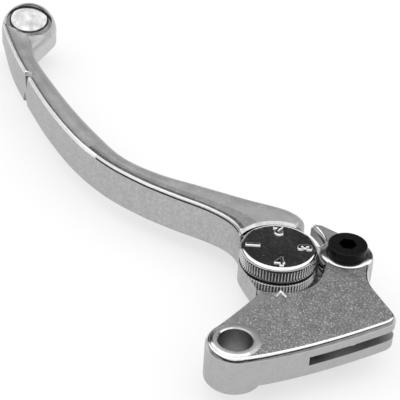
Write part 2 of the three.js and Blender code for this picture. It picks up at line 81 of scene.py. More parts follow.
BOSS_TOP = highest("knuckle").z
LUG_BOTTOM = lowest("knuckle").z
PLATE_TOP = BOSS_TOP - 0.3
PLATE_BOTTOM = LUG_BOTTOM + 2
CHEEK_BOTTOM = highest("thrust_washer").z + 0.2
FLOOR_TOP = CHEEK_BOTTOM - 0.3
SHELF_TOP = FLOOR_TOP - 1.5
SLOT_BOTTOM = LUG_BOTTOM + 2.3
DIAL_TOP = highest("adjuster_dial").z
DIAL_BOTTOM = lowest("adjuster_dial").z
DIAL_RADIUS = (highest("adjuster_dial").x - lowest("adjuster_dial").x) / 2
BLADE_TOP = DIAL_TOP - 0.1
BLADE_BOTTOM = 1.1
GROUND = min(lowest(node).z for node in frame["nodes"])

ROUND = 96
CUT = 3
SMOOTH_BELOW = 32


def near_dial(toward, across):
    return DIAL + TOWARD * toward + ACROSS * across


def turned_about(point, pivot, angle):
    return pivot + Matrix.Rotation(angle, 2) @ (point - pivot)


FAR_DIAL = turned_about(DIAL, SCREW, -REACH_ANGLE)


# ---- Outlines ----

def pointing(angle):
    """The unit vector at an angle from +X."""
    return Vector((math.cos(angle), math.sin(angle)))


class Path:
    """A flat outline that grows by lines, curves and arcs."""

    STEP = 0.35
    GAP = 0.03

    def __init__(self, start):
        self.points = [Vector(start)]

    def line(self, end):
        self.points.append(Vector(end))
        return self

    def curve(self, control, end, steps=None):
        start, control, end = self.points[-1], Vector(control), Vector(end)
        steps = steps or max(6, round((end - start).length / self.STEP))
        for step in range(1, steps + 1):
            share = step / steps
            bent = start * (1 - share) ** 2 + control * 2 * share * (1 - share) + end * share ** 2
            self.points.append(bent)
        return self

    def arc(self, centre, radius, start, end):
        steps = max(6, round(abs(end - start) * radius / self.STEP))
        for step in range(steps + 1):
            angle = start + (end - start) * step / steps
            self.points.append(Vector(centre) + pointing(angle) * radius)
        return self

    def closed(self):
        """The points, without those that fall on the one before."""
        points = self.points
        return [point for index, point in enumerate(points) if (point - points[index - 1]).length > self.GAP]


def angle_from(centre, point):
    return math.atan2(point[1] - centre[1], point[0] - centre[0])


def circle(centre, radius):
    turn = 2 * math.pi / ROUND
    return [centre + pointing(turn * step) * radius for step in range(ROUND)]


def belt(first, first_radius, second, second_radius):
    """The outline of a belt round two circles."""
    line = second - first
    heading = math.atan2(line.y, line.x)
    spread = math.acos((first_radius - second_radius) / line.length)
    path = Path(second + pointing(heading - spread) * second_radius)
    path.arc(second, second_radius, heading - spread, heading + spread)
    path.arc(first, first_radius, heading + spread, heading - spread + 2 * math.pi)
    return path.closed()


def dial_rectangle(toward0, toward1, across0, across1):
    corners = [(toward0, across0), (toward1, across0), (toward1, across1), (toward0, across1)]
    return [near_dial(*corner) for corner in corners]


def hexagon(centre, across_flats):
    reach = across_flats / math.sqrt(3)
    return [centre + pointing(corner * math.pi / 3) * reach for corner in range(6)]


def signed_area(outline):
    return sum(outline[i - 1].cross(outline[i]) for i in range(len(outline))) / 2


def inset(outline, distance):
    """A counterclockwise outline moved inward by the distance."""
    moved = []
    for index, point in enumerate(outline):
        before = (point - outline[index - 1]).normalized()
        after = (outline[(index + 1) % len(outline)] - point).normalized()
        inward = Vector((-before.y - after.y, before.x + after.x)).normalized()
        stretch = 1 / max(0.5, inward.dot(Vector((-after.y, after.x))))
        moved.append(point + inward * distance * stretch)
    return moved


def rounded_profile(points, radius, steps=4):
    """A [radius, height] profile whose inner corners are eased by quadratic curves."""
    eased = [Vector(points[0])]
    for before, corner, after in zip(points, points[1:], points[2:]):
        before, corner, after = Vector(before), Vector(corner), Vector(after)
        reach = min(radius, (before - corner).length / 2, (after - corner).length / 2)
        start = corner + (before - corner).normalized() * reach
        end = corner + (after - corner).normalized() * reach
        for step in range(steps + 1):
            share = step / steps
            eased.append(start * (1 - share) ** 2 + corner * 2 * share * (1 - share) + end * share ** 2)
    return eased + [Vector(points[-1])]


# ---- Solids ----

def solid(name, vertices, faces, skin):
    """A closed mesh with its faces out, all in one material."""
    mesh = bpy.data.meshes.new(name)
    mesh.from_pydata([tuple(vertex) for vertex in vertices], [], faces)
    work = bmesh.new()
    work.from_mesh(mesh)
    bmesh.ops.recalc_face_normals(work, faces=work.faces)
    work.to_mesh(mesh)
    work.free()
    mesh.materials.append(skin)
    return linked(name, mesh)


def linked(name, data):
    piece = bpy.data.objects.new(name, data)
    bpy.context.scene.collection.objects.link(piece)
    return piece


def loft(name, rings, skin):
    """Rings of points, each the same length, joined into one solid with flat ends."""
    count = len(rings[0])
    vertices = [point for ring in rings for point in ring]
    faces = [list(range(count)), list(range(len(vertices) - count, len(vertices)))]
    for level in range(len(rings) - 1):
        for corner in range(count):
            here, over = level * count + corner, level * count + (corner + 1) % count
            faces.append([here, over, over + count, here + count])
    return solid(name, vertices, faces, skin)


def prism(outline, bottom, top, skin):
    return loft("prism", [[(*point, height) for point in outline] for height in (bottom, top)], skin)


def round_rim(radius):
    """A quarter round, as (inset, distance below the face) from the wall to the face."""
    angles = [math.radians(15 * step) for step in range(7)]
    return [(radius * (1 - math.cos(angle)), radius * (1 - math.sin(angle))) for angle in angles]


def buffed_rim():
    """A worn rim: a steep facet of 28 to 32 degrees off the wall, and then a round."""
    facet = [(tilt, 0.24) for tilt in (28, 29, 30.5, 32)]
    runs = [(10, 0.05), *facet] + [(tilt, 0.1) for tilt in range(38, 90, 8)]
    inward, rise = 0, 0
    steps = [(0, 0)]
    for tilt, length in runs:
        inward += length * math.sin(math.radians(tilt))
        rise += length * math.cos(math.radians(tilt))
        steps.append((inward, rise))
    return [(inward, steps[-1][1] - rise) for inward, rise in steps]


def rounded_prism(outline, bottom, top, lower_rim, upper_rim, skin):
    """A prism with a rim round each face."""
    if signed_area(outline) < 0:
        outline = outline[::-1]
    rings = []
    for inward, rise in reversed(lower_rim):
        rings.append([(*point, bottom + rise) for point in inset(outline, inward)])
    for inward, drop in upper_rim:
        rings.append([(*point, top - drop) for point in inset(outline, inward)])
    return loft("prism", rings, skin)


def turned(centre, profile, skin, closed=False):
    """A turned solid. Its [radius, height] profile starts and ends on the axis, or is a closed loop."""
    turn = 2 * math.pi / ROUND
    vertices, rings = [], []
    for radius, height in profile:
        count = ROUND if radius > 1e-6 else 1
        rings.append([len(vertices) + step for step in range(count)])
        for step in range(count):
            reach = pointing(turn * step) * radius
            vertices.append((centre.x + reach.x, centre.y + reach.y, height))
    faces = []
    pairs = list(zip(rings, rings[1:]))
    if closed:
        pairs.append((rings[-1], rings[0]))
    for low, high in pairs:
        for step in range(ROUND):
            over = (step + 1) % ROUND
            if len(low) == 1:
                faces.append([low[0], high[over], high[step]])
            elif len(high) == 1:
                faces.append([low[step], low[over], high[0]])
            else:
                faces.append([low[step], low[over], high[over], high[step]])
    return solid("turned", vertices, faces, skin)


def disc(centre, radius, bottom, top, skin):
    return turned(centre, [(0, bottom), (radius, bottom), (radius, top), (0, top)], skin)


def ring(centre, inner, outer, bottom, top, skin, ease=0.1):
    """A flat ring with eased edges."""
    corners = [(inner, bottom), (outer, bottom), (outer, top), (inner, top)]
    profile = rounded_profile([corners[-1], *corners, corners[0]], ease)[1:-1]
    return turned(centre, profile, skin, closed=True)


def settled(piece):
    """Turns the piece's modifiers into its mesh."""
    graph = bpy.context.evaluated_depsgraph_get()
    mesh = bpy.data.meshes.new_from_object(piece.evaluated_get(graph))
    piece.modifiers.clear()
    piece.data = mesh
    return piece


def combine(piece, operation, tools):
    for tool in tools:
        modifier = piece.modifiers.new("combine", "BOOLEAN")
        modifier.operation = operation
        modifier.solver = "MANIFOLD"
        modifier.material_mode = "TRANSFER"
        modifier.object = tool
        settled(piece)
        bpy.data.objects.remove(tool)
    return piece


def joined(piece, *tools):
    return combine(piece, "UNION", tools)


def without(piece, *tools):
    return combine(piece, "DIFFERENCE", tools)


def paint(piece, face, skin):
    slots = piece.data.materials
    if skin.name not in slots:
        slots.append(skin)
    face.material_index = slots.find(skin.name)


def dress(piece, rule):
    """Gives each face the material that the rule picks from its middle and normal, if any."""
    for face in piece.data.polygons:
        skin = rule(face.center, face.normal)
        if skin is not None:
            paint(piece, face, skin)


def placed(piece, name, body, nodes):
    """Scales a piece to metres and hangs it on its body in place of the nodes."""
    piece.name = name
    piece.data.name = name
    piece.data.transform(Matrix.Scale(MM, 4))
    piece.data.shade_smooth()
    piece.data.set_sharp_from_angle(angle=math.radians(SMOOTH_BELOW))
    piece.modifiers.new("even_normals", "WEIGHTED_NORMAL").keep_sharp = True
    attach(piece, body)
    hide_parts(*nodes)
    return piece


# ---- Materials ----

def grey_ramp(tree, value, stops):
    """Maps a value through stops of (position, level of grey)."""
    node = tree.nodes.new("ShaderNodeValToRGB")
    elements = node.color_ramp.elements
    for index, (position, level) in enumerate(stops):
        element = elements[index] if index < 2 else elements.new(position)
        element.position = position
        element.color = (level, level, level, 1)
    tree.links.new(value, node.inputs["Fac"])
    return node.outputs["Color"]


class Shader:
    """A node material on object coordinates, in metres."""

    def __init__(self, name, colour, roughness, metallic=1.0):
        self.material = bpy.data.materials.new(name)
        self.material.use_nodes = True
        self.nodes = self.material.node_tree.nodes
        self.links = self.material.node_tree.links
        self.surface = self.nodes["Principled BSDF"]
        self.surface.inputs["Base Color"].default_value = (*colour, 1)
        self.surface.inputs["Roughness"].default_value = roughness
        self.surface.inputs["Metallic"].default_value = metallic
        self.place = self.nodes.new("ShaderNodeTexCoord").outputs["Object"]
        self.normal = None

    def noise(self, size, detail=3.0, stretch=(1, 1, 1)):
        """Noise whose features are about size millimetres across."""
        mapping = self.nodes.new("ShaderNodeMapping")
        mapping.inputs["Scale"].default_value = [1 / (size * MM * part) for part in stretch]
        self.links.new(self.place, mapping.inputs["Vector"])
        texture = self.nodes.new("ShaderNodeTexNoise")
        texture.inputs["Scale"].default_value = 1
        texture.inputs["Detail"].default_value = detail
        self.links.new(mapping.outputs["Vector"], texture.inputs["Vector"])
        return texture.outputs["Fac"]

    def away_from(self, start, end, reach):
        """Distance to the left of a line seen from above, from 0 on the line to 1 at reach millimetres."""
        line = Vector(end) - Vector(start)
        aside = Vector((-line.y, line.x)).normalized()
        shift = self.nodes.new("ShaderNodeVectorMath")
        shift.operation = "SUBTRACT"
        shift.inputs[1].default_value = Vector((*start, 0)) * MM
        self.links.new(self.place, shift.inputs[0])
        dot = self.nodes.new("ShaderNodeVectorMath")
        dot.operation = "DOT_PRODUCT"
        dot.inputs[1].default_value = Vector((*aside, 0)) / (reach * MM)
        self.links.new(shift.outputs["Vector"], dot.inputs[0])
        return dot.outputs["Value"]

    def ramp(self, value, *stops):
        return grey_ramp(self.material.node_tree, value, stops)

    def mix(self, share, first, second):
        """Blends two colours by a value."""
        node = self.nodes.new("ShaderNodeMix")
        node.data_type = "RGBA"
        node.inputs["A"].default_value = (*first, 1)
        node.inputs["B"].default_value = (*second, 1)
        self.links.new(share, node.inputs["Factor"])
        return node.outputs["Result"]

    def blend(self, share, first, second):
        """Blends a colour of the nodes with a plain one by a value."""
        result = self.mix(share, (0, 0, 0), second)
        self.links.new(first, result.node.inputs["A"])
        return result

    def bump(self, height, depth, strength=1.0):
        """Adds relief of depth millimetres on top of any relief so far."""
        node = self.nodes.new("ShaderNodeBump")
        node.inputs["Strength"].default_value = strength
        node.inputs["Distance"].default_value = depth * MM
        self.links.new(height, node.inputs["Height"])
        if self.normal is not None:
            self.links.new(self.normal, node.inputs["Normal"])
        self.normal = node.outputs["Normal"]
        self.links.new(self.normal, self.surface.inputs["Normal"])

    def feed(self, socket, value):
        self.links.new(value, self.surface.inputs[socket])


def grey(value):
    return (value, value, value * 1.01)


def blasted_aluminium():
    """Bead-blasted casting: bright specks painted into its colour stand for the glints of its fine pits."""
    shader = Shader("blasted_aluminium", grey(0.34), 0.42)
    sparkle = shader.ramp(shader.noise(0.4, 3), (0.42, 0), (0.6, 0.26), (0.7, 1))
    # The light specks are painted glints.
    painted_glints = shader.mix(sparkle, grey(0.27), grey(0.95))
    rubbed = shader.ramp(shader.away_from((-14.8, 12.2), (-6.3, -3), 4), (0.3, 1), (1, 0))
    shader.feed("Base Color", shader.blend(rubbed, painted_glints, grey(0.42)))
    shader.feed("Roughness", shader.ramp(shader.noise(2.5), (0.3, 0.36), (0.7, 0.46)))
    shader.bump(shader.noise(0.4, 2), 0.06, 0.6)
    return shader.material


def satin_aluminium(name, level, mottle):
    """Tumbled and buffed skin with faint mottling and a few stray pits."""
    shader = Shader(name, grey(level), 0.45)
    smudges = shader.ramp(shader.noise(0.8, 6), (0.3, 0), (0.7, 1))
    patches = shader.mix(smudges, grey(level - mottle), grey(level + mottle))
    specks = shader.ramp(shader.noise(0.55, 3), (0.22, 1), (0.34, 0))
    shader.feed("Base Color", shader.blend(specks, patches, grey(0.2)))
    shader.feed("Roughness", shader.ramp(shader.noise(3.5), (0.3, 0.4), (0.7, 0.5)))
    shader.bump(shader.noise(0.3, 2), 0.012, 0.5)
    pits = shader.ramp(shader.noise(0.7, 0), (0.17, 0), (0.21, 1))
    shader.bump(pits, 0.05, 0.6)
    return shader.material


def polished_aluminium():
    """Hand-buffed edges and ball, with shallow waves from the wheel."""
    shader = Shader("polished_aluminium", grey(0.5), 0.09)
    waves = shader.ramp(shader.noise(3), (0.3, 0), (0.7, 1))
    shader.feed("Base Color", shader.mix(waves, grey(0.38), grey(0.58)))
    shader.feed("Roughness", shader.ramp(shader.noise(1.3), (0.35, 0.06), (0.7, 0.13)))
    shader.bump(shader.noise(3.2, 1), 0.06, 0.35)
    return shader.material


def bright_aluminium(name, level):
    """Rubbed high spots, such as the rim of the notch and the edge of the blade's band."""
    shader = Shader(name, grey(level), 0.28)
    shader.feed("Base Color", shader.mix(shader.noise(0.9), grey(level - 0.08), grey(level + 0.08)))
    shader.feed("Roughness", shader.ramp(shader.noise(1.3), (0.35, 0.26), (0.7, 0.34)))
    shader.bump(shader.noise(0.4, 2), 0.01, 0.3)
    return shader.material


def buffed_aluminium():
    """Edges worn bright by handling."""
    shader = Shader("buffed_aluminium", grey(0.6), 0.16)
    shader.feed("Base Color", shader.mix(shader.noise(1.2), grey(0.55), grey(0.68)))
    shader.feed("Roughness", shader.ramp(shader.noise(1.5), (0.35, 0.12), (0.7, 0.22)))
    shader.bump(shader.noise(1.1, 2), 0.02, 0.4)
    return shader.material


def bored_aluminium():
    """The bore and the notch, in a darker colour painted as shade inside them, with fine rings round the
    wall.
    """
    shader = Shader("bored_aluminium", grey(0.26), 0.4)
    shader.feed("Base Color", shader.mix(shader.noise(1.5), grey(0.22), grey(0.31)))
    shader.feed("Roughness", shader.ramp(shader.noise(0.8), (0.3, 0.34), (0.7, 0.46)))
    shader.bump(shader.noise(0.25, 2, (20, 20, 1)), 0.015, 0.5)
    return shader.material


def knurled_chrome():
    """The plated teeth of the dial, dulled, with painted shade between them."""
    shader = Shader("knurled_chrome", grey(0.55), 0.16)
    shader.feed("Base Color", shader.mix(shader.noise(0.5), grey(0.48), grey(0.62)))
    shader.feed("Roughness", shader.ramp(shader.noise(0.6), (0.3, 0.12), (0.7, 0.24)))
    shader.bump(shader.noise(0.2, 2), 0.01, 0.4)
    return shader.material


def grime():
    """Near-black colour painted as shade in the groove under the blade's band, under the dial and between
    its teeth.
    """
    shader = Shader("grime", grey(0.03), 0.6, 0.0)
    shader.feed("Base Color", shader.mix(shader.noise(0.3), grey(0.015), grey(0.05)))
    shader.bump(shader.noise(0.2, 2), 0.01, 0.5)
    return shader.material


def turned_floor():
    """The turned floor under the dial."""
    shader = Shader("turned_floor", grey(0.46), 0.12)
    shader.feed("Base Color", shader.mix(shader.noise(1.2), grey(0.4), grey(0.52)))
    shader.feed("Roughness", shader.ramp(shader.noise(0.9), (0.35, 0.1), (0.7, 0.18)))
    shader.bump(shader.noise(1.6, 2), 0.03, 0.5)
    return shader.material


def dial_chrome():
    """Bright plating on the rim of the dial."""
    shader = Shader("dial_chrome", grey(0.62), 0.06)
    shader.feed("Roughness", shader.ramp(shader.noise(0.8), (0.35, 0.04), (0.7, 0.1)))
    shader.bump(shader.noise(1.5, 1), 0.01, 0.3)
    return shader.material


def dial_face():
    """The flat mirror of the dial, with faint wiping marks and a few specks of dust."""
    shader = Shader("dial_face", grey(0.5), 0.09)
    specks = shader.ramp(shader.noise(0.9, 0), (0.79, 0), (0.82, 1))
    clouds = shader.mix(shader.ramp(shader.noise(5, 4), (0.35, 0), (0.65, 1)), grey(0.42), grey(0.6))
    shader.feed("Base Color", shader.blend(specks, clouds, grey(1.0)))
    shader.feed("Roughness", shader.ramp(shader.noise(1.2), (0.3, 0.06), (0.75, 0.16)))
    shader.bump(shader.noise(2.0, 2), 0.01, 0.3)
    return shader.material


def black_steel(name, level, refraction):
    """Black oxide, whose shine comes from its refraction."""
    shader = Shader(name, grey(level), 0.24, 0.0)
    shader.feed("Base Color", shader.mix(shader.noise(0.8), grey(level * 0.5), grey(level * 1.5)))
    shader.feed("Roughness", shader.ramp(shader.noise(0.6), (0.3, 0.18), (0.7, 0.3)))
    shader.surface.inputs["IOR"].default_value = refraction
    shader.bump(shader.noise(0.25, 2), 0.01, 0.5)
    return shader.material


def zinc_steel():
    shader = Shader("zinc_steel", grey(0.6), 0.28)
    shader.feed("Base Color", shader.mix(shader.noise(0.7), (0.56, 0.57, 0.55), (0.68, 0.68, 0.63)))
    shader.feed("Roughness", shader.ramp(shader.noise(0.5), (0.3, 0.22), (0.7, 0.38)))
    shader.bump(shader.noise(0.2, 2), 0.01, 0.5)
    return shader.material


def spring_steel():
    shader = Shader("spring_steel", grey(0.4), 0.25)
    shader.feed("Base Color", shader.mix(shader.noise(0.5), grey(0.32), grey(0.46)))
    shader.bump(shader.noise(0.15, 2, (1, 1, 4)), 0.01, 0.4)
    return shader.material


def bronze():
    shader = Shader("bronze", (0.5, 0.32, 0.14), 0.3)
    shader.feed("Base Color", shader.mix(shader.noise(0.6), (0.42, 0.26, 0.11), (0.58, 0.39, 0.18)))
    shader.bump(shader.noise(0.2, 2), 0.02, 0.4)
    return shader.material


def nylon():
    shader = Shader("nylon", (0.8, 0.79, 0.72), 0.5, 0)
    shader.feed("Base Color", shader.mix(shader.noise(1.2), (0.76, 0.75, 0.67), (0.84, 0.83, 0.77)))
    shader.bump(shader.noise(0.3, 2), 0.02, 0.4)
    return shader.material


BLASTED = blasted_aluminium()
BRIGHT = bright_aluminium("bright_aluminium", 0.68)
WORN = bright_aluminium("worn_aluminium", 0.54)
BUFFED = buffed_aluminium()
RECESS_SHADE = bored_aluminium()
KNURLED = knurled_chrome()
PAINTED_SHADE = grime()
SATIN = satin_aluminium("satin_aluminium", 0.45, 0.02)
FORGED = satin_aluminium("forged_aluminium", 0.45, 0.06)
# A lighter copy of the satin skin, painted light on the bar's upward faces, the web by the ball and the
# notch's cup.
PAINTED_LIGHT_SATIN = satin_aluminium("painted_light_satin", 0.58, 0.03)
# A bright copy of the satin skin: the index mark's own colour, and a painted highlight along the blade's
# ridge band towards the ball.
MARK_AND_RIDGE_HIGHLIGHT = satin_aluminium("mark_and_ridge_highlight", 0.85, 0.05)
# Two darker copies of the satin skin, painted shade in the gutter behind the blade's ridge: the first
# lighter, further from the ridge, the second darkest, next to it.
SHADED = satin_aluminium("shaded_aluminium", 0.46, 0.06)
PAINTED_GUTTER_SHADE = satin_aluminium("painted_gutter_shade", 0.24, 0.1)
POLISHED = polished_aluminium()
TURNED = turned_floor()
CHROME = dial_chrome()
FACE = dial_face()
BLACK = black_steel("black_steel", 0.006, 1.2)
# A darker copy of the black steel, painted shade in the screw's hex socket.
SOCKET_SHADE = black_steel("socket_painted_shade", 0.001, 1.05)
ZINC = zinc_steel()
SPRING = spring_steel()
BRONZE = bronze()
NYLON = nylon()


# ---- Knuckle ----

RIM = 1.2
BOSS_RADIUS = 7
LUG_RADIUS = 6.9
NEAR_ARC = (Vector((-23.3, 22.1)), 10.7)
HORN_ARC = (Vector((-33, 20.2)), 17.8)
HORN_CORNER = Vector((-36.2, 37.71))
NEAR_START = math.radians(30)
HUB_RADIUS = 9.8
HUB_ROOM = HUB_RADIUS + 0.5
GUARD_RADIUS = 13.4
NOSE_HALF_WIDTH = 3.2
BORE_RADIUS = 4.1
BORE_CHAMFER = 0.3
TONGUE_SLOT_RADIUS = 5.95
SHANK_HOLE_RADIUS = 3.3
THREAD_HOLE_RADIUS = 3.1
SEAT_RADIUS = 5.15
SEAT_DEPTH = 0.6
NIPPLE_HOLE = Vector((0.6, 28.6))
NIPPLE_RADIUS = 4.1
NIPPLE_TOP = 8.9
CABLE_SLOT = (5.2, 7.7)


def knuckle_outline():
    path = Path((-14.8, 12.2))
    path.curve((-9.9, 4.4), (-6.3, -3))
    path.arc(ORIGIN, BOSS_RADIUS, angle_from(ORIGIN, (-6.3, -3)) + 2 * math.pi, 2 * math.pi - 0.1)
    path.curve((9.1, 13), (6.1, 36.9)).curve((5.6, 40.5), (2.4, 40.5)).line((-7, 40.5))
    path.curve((-12.2, 40.5), (-17.3, 45.6)).arc(SCREW, LUG_RADIUS, 0.83, 2.09)
    path.line((-34.9, 41)).curve((-36.7, 40.1), HORN_CORNER)
    path.arc(*HORN_ARC, angle_from(HORN_ARC[0], HORN_CORNER), math.radians(60))
    path.curve((-16.05, 30.96), NEAR_ARC[0] + pointing(NEAR_START) * NEAR_ARC[1])
    path.arc(*NEAR_ARC, NEAR_START, math.radians(-5))
    path.curve((-12.8, 19.4), (-15.4, 13.4)).curve((-15.5, 12.9), (-14.8, 12.2))
    return path.closed()


def index_mark():
    """Two raised bars with sloping sides that meet in a point beside the dial."""
    tip = near_dial(17, 0.1)
    length, half_spread = 2.7, 0.5
    foot, crest, rise = 0.28, 0.08, 0.2
    profile = [(-foot, -0.3), (foot, -0.3), (foot, 0), (crest, rise), (-crest, rise), (-foot, 0)]
    bars = []
    for side in (-1, 1):
        turn = TOWARD_ANGLE + side * half_spread
        along_bar = pointing(turn)
        across_bar = Vector((-along_bar.y, along_bar.x))
        rings = []
        for end in (tip, tip + along_bar * length):
            rings.append([(*(end + across_bar * aside), PLATE_TOP + height) for aside, height in profile])
        bars.append(loft("bar", rings, MARK_AND_RIDGE_HIGHLIGHT))
    return bars


def knuckle_finish(middle, normal):
    """Buffed rims and recess wall, a blasted top, a bright index mark, and satin left on the walls."""
    flat = normal.z > 0.98
    from_boss = middle.to_2d().length
    if middle.z > PLATE_TOP + 0.05 and min(from_boss, (middle.to_2d() - SCREW).length) > BOSS_RADIUS:
        return MARK_AND_RIDGE_HIGHLIGHT
    if flat and PLATE_TOP - 0.02 < middle.z < PLATE_TOP + 0.02:
        return BLASTED
    if middle.z > PLATE_TOP - RIM and 0.44 < normal.z < 0.56:
        return POLISHED
    if not flat and middle.z > PLATE_TOP - RIM and normal.z > 0.04:
        return SATIN if middle.z > PLATE_TOP and middle.y > 1 and from_boss < BOSS_RADIUS else BUFFED
    inward = DIAL - middle.to_2d()
    faces_dial = inward.dot(normal.to_2d()) > 0.4 * inward.length
    if middle.z > CHEEK_BOTTOM and inward.length < 19 and faces_dial:
        return BUFFED
    return None


def boss_profile():
    """The pivot boss, with a raised ring round the bore."""
    profile = [(0, 0)] + [(BOSS_RADIUS - inward, rise) for inward, rise in reversed(round_rim(0.8))]
    profile += [(BOSS_RADIUS + 0.03 - inward, PLATE_TOP + 0.01 - drop) for inward, drop in buffed_rim()]
    profile += [(5.9, PLATE_TOP + 0.03), (5.6, PLATE_TOP + 0.14), (5.3, PLATE_TOP + 0.26)]
    return profile + [(5, BOSS_TOP), (0, BOSS_TOP)]


def collar_profile():
    """The low collar round the screw's head."""
    radius, bottom = LUG_RADIUS - 0.3, 9
    wall = [(0, bottom), (radius, bottom), (radius, PLATE_TOP - 0.1)]
    return wall + [(radius - 0.3, PLATE_TOP + 0.08), (5.5, PLATE_TOP + 0.28), (0, PLATE_TOP + 0.3)]


def bore_profile():
    """The pivot bore as a cutter, with a chamfer at each end."""
    rim_radius = BORE_RADIUS + BORE_CHAMFER
    lower = [(0, -CUT), (rim_radius, -CUT), (rim_radius, 0), (BORE_RADIUS, BORE_CHAMFER)]
    upper = [(BORE_RADIUS, BOSS_TOP - BORE_CHAMFER), (rim_radius, BOSS_TOP)]
    return lower + upper + [(rim_radius + CUT, BOSS_TOP + CUT), (0, BOSS_TOP + CUT)]


def make_knuckle():
    outline = knuckle_outline()
    knuckle = rounded_prism(outline, PLATE_BOTTOM, PLATE_TOP, round_rim(0.6), buffed_rim(), SATIN)
    without(knuckle, prism(dial_rectangle(-24, -1, -12, 30), PLATE_BOTTOM - CUT, CHEEK_BOTTOM, SATIN))
    lug_root = belt(SCREW, LUG_RADIUS, Vector((-13, 33.4)), LUG_RADIUS)
    joined(
        knuckle,
        turned(ORIGIN, boss_profile(), SATIN),
        disc(SCREW, LUG_RADIUS, LUG_BOTTOM, PLATE_TOP - RIM, SATIN),
        prism(lug_root, LUG_BOTTOM, PLATE_BOTTOM + 1, SATIN),
        prism(dial_rectangle(6, 19, -5.2, 16), PLATE_BOTTOM, SHELF_TOP, SATIN),
        turned(SCREW, collar_profile(), BUFFED),
        *index_mark(),
    )
    without(
        knuckle,
        prism(belt(DIAL, HUB_ROOM, SCREW, TONGUE_SLOT_RADIUS), SLOT_BOTTOM, CHEEK_BOTTOM, SATIN),
        prism(belt(FAR_DIAL, HUB_ROOM, SCREW, TONGUE_SLOT_RADIUS), SLOT_BOTTOM, CHEEK_BOTTOM, SATIN),
        prism(belt(DIAL, HUB_ROOM, FAR_DIAL, HUB_ROOM), LUG_BOTTOM - CUT, CHEEK_BOTTOM, SATIN),
        disc(DIAL, GUARD_RADIUS + 0.8, SHELF_TOP, CHEEK_BOTTOM, SATIN),
    )
    nose = dial_rectangle(3.75, 12, -NOSE_HALF_WIDTH, NOSE_HALF_WIDTH)
    joined(knuckle, prism(nose, SLOT_BOTTOM + 0.3, SHELF_TOP, SATIN))
    cable_slot = [Vector((-0.8, 15.6)), Vector((20, 15.6)), Vector((20, 50)), Vector((-0.8, 50))]
    without(
        knuckle,
        # The bore's wall gets the darker colour as painted shade.
        turned(ORIGIN, bore_profile(), RECESS_SHADE),
        disc(SCREW, SHANK_HOLE_RADIUS, SLOT_BOTTOM, PLATE_TOP + CUT, SATIN),
        disc(SCREW, THREAD_HOLE_RADIUS, LUG_BOTTOM - CUT, SLOT_BOTTOM + CUT, SATIN),
        disc(SCREW, SEAT_RADIUS, PLATE_TOP - SEAT_DEPTH, PLATE_TOP + CUT, BLACK),
        disc(NIPPLE_HOLE, NIPPLE_RADIUS, PLATE_BOTTOM - CUT, NIPPLE_TOP, SATIN),
        prism(cable_slot, *CABLE_SLOT, SATIN),
    )
    dress(knuckle, knuckle_finish)
    return placed(knuckle, "knuckle_casting", "knuckle", ["knuckle"])


make_knuckle()


# ---- Blade ----

REAR_EDGE = [
    (-32, 16.3), (-37.5, 17.9), (-43.5, 17.6), (-50.5, 14.2), (-58.5, 8.2), (-67.5, 2.1), (-79.5, -3.8),
    (-94, -7.6), (-112, -9.4), (-130, -9.6), (-144, -9.3), (-156, -8.2), (-168, -6.5),
]
FRONT_EDGE = [
    (-36.6, 35.2), (-39.5, 37.4), (-44.5, 35.6), (-52.1, 28), (-62.2, 18.6), (-71.5, 10), (-82, 3.6),
    (-95, 0.8), (-112, -1.4), (-130, -2.5), (-144, -2.6), (-156, -0.6), (-168, 2),
]
BALL = Vector((-168.9, 2.5, 6.6))
BALL_RADIUS = 8.8
BAND_INSET = 0.65
BAND_DROP = 0.6
DECK_DROP = 0.45
GUTTER_END = 2.7
HEAD_TAIL = (Vector((-153.3, -4.9)), 3.35)
NOTCH = Vector((-132.4, -9.2))
STATIONS = 170
GROOVE_SPAN = (0.1, 0.52)
DEEP_GUTTER_END = 0.55
TONGUE_BOTTOM = 3.8
TONGUE_RADIUS = 5.6
EYE_RADIUS = 4.2
WASHER_ROOM_RADIUS = 5
CAM_ROOM_RADIUS = 6
SPINDLE_HOLE_RADIUS = 2.8
DETENT_HOLE_RADIUS = 1.35
GUARD_SIDE = -5.2


def along(edge, share):
    """The point at a share of a smooth curve through the edge's points."""
    place = share * (len(edge) - 1)
    index = min(int(place), len(edge) - 2)
    t = place - index
    p0, p1, p2, p3 = (Vector(edge[min(max(index + k, 0), len(edge) - 1)]) for k in (-1, 0, 1, 2))
    bend = (p0 * 2 - p1 * 5 + p2 * 4 - p3) * t ** 2
    twist = (p1 * 3 - p0 - p2 * 3 + p3) * t ** 3
    return (p1 * 2 + (p2 - p0) * t + bend + twist) / 2


def smoothstep(value, low, high):
    share = min(max((value - low) / (high - low), 0), 1)
    return share * share * (3 - 2 * share)


def blade_section(width, bottom, top, front_drop, narrowing, groove):
    """The bar's outline as (distance from the rear edge, height), from the lower rear corner round."""
    front_round = min(2.6, width / 3)
    rear_round = 0.8
    shoulder = min(4.2, width / 2)
    deck = top - DECK_DROP
    front_top = deck - front_drop
    inset, drop = BAND_INSET * narrowing, BAND_DROP * narrowing
    path = Path((rear_round, bottom))
    path.line((width - front_round, bottom)).curve((width, bottom), (width, bottom + front_round), 8)
    path.line((width, front_top - 3.6))
    path.curve((width, front_top), (width - shoulder, front_top + 0.05), 14)
    path.curve((width / 2, deck + 0.08), (GUTTER_END, deck), 8)
    path.curve((inset + 0.4, deck), (inset + 0.06, top), 6)
    path.line((inset, top - 0.02)).curve((inset - 0.08, top - 0.04), (inset - 0.14, top - 0.11), 2)
    band_foot = top - drop
    path.line((0.12, band_foot + 0.1)).line((0.08, band_foot))
    path.line((0.06 + groove, band_foot - 0.04)).line((0.06 + groove, band_foot - 0.46))
    path.line((0.06, band_foot - 0.52)).line((0.05, bottom + rear_round + 0.2))
    path.curve((0.1, bottom + 0.1), (rear_round, bottom), 5)
    return path.points[1:]


